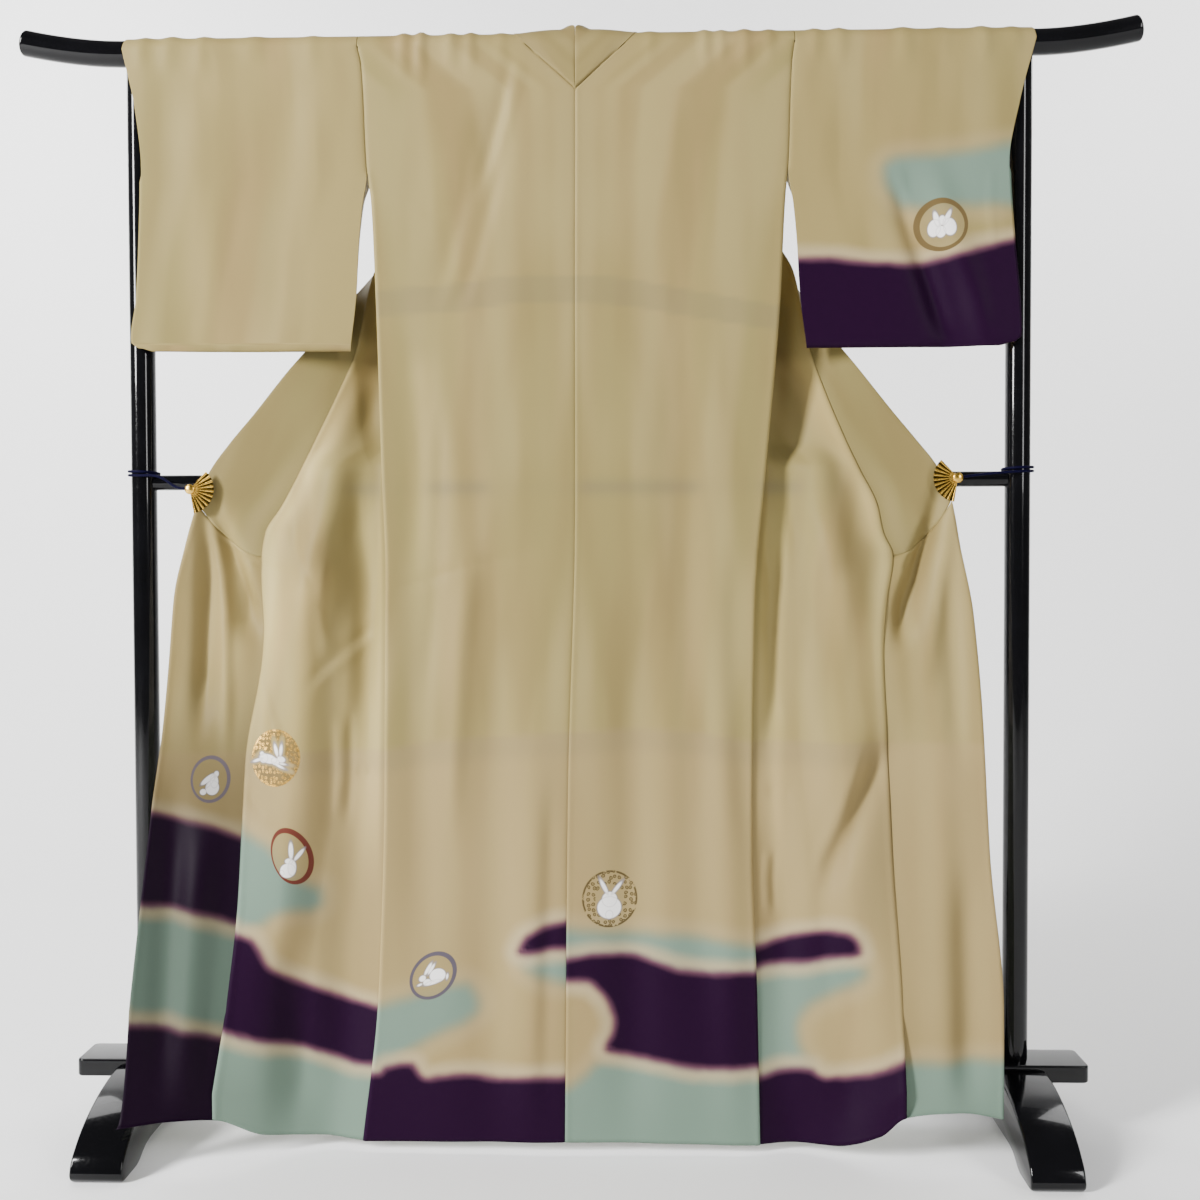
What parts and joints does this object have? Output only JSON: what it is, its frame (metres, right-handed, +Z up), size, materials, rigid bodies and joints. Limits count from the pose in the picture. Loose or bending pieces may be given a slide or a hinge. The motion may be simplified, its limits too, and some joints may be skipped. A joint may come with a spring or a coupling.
{
  "type": "tsukesage kimono on a kimono stand",
  "caption": "Silk tsukesage kimono hung over the rail of a black lacquered kimono stand, back outward, its fronts spread to both sides by fan clips tied to the posts.",
  "frame": {"origin": "on the floor, midway between the two feet, under the middle of the rail", "axes": "+Z up, +X to the right of a viewer who sees the kimono's back, +Y away from that viewer"},
  "size_m": [1.668, 0.4342, 1.656],
  "materials": {
    "lacquer": "high-gloss black lacquer on turned and sawn wood",
    "silk": "beige silk crepe with a soft satin sheen, dyed in shaded bands",
    "gilt_brass": "polished gilt",
    "tie_cord": "matt braided navy cord"
  },
  "bodies": {
    "root": {"top_rail": "lacquer", "mid_rail": "lacquer", "base_board": "lacquer", "post_left": "lacquer", "post_right": "lacquer", "foot_left": "lacquer", "foot_right": "lacquer", "back_left": "silk", "back_right": "silk", "front_left": "silk", "front_right": "silk", "okumi_left": "silk", "okumi_right": "silk", "collar_left": "silk", "collar_right": "silk", "sleeve_left": "silk", "sleeve_right": "silk", "clip_left": "gilt_brass", "clip_right": "gilt_brass", "tie_cord_left": "tie_cord", "tie_cord_right": "tie_cord"}
  },
  "joints": []
}
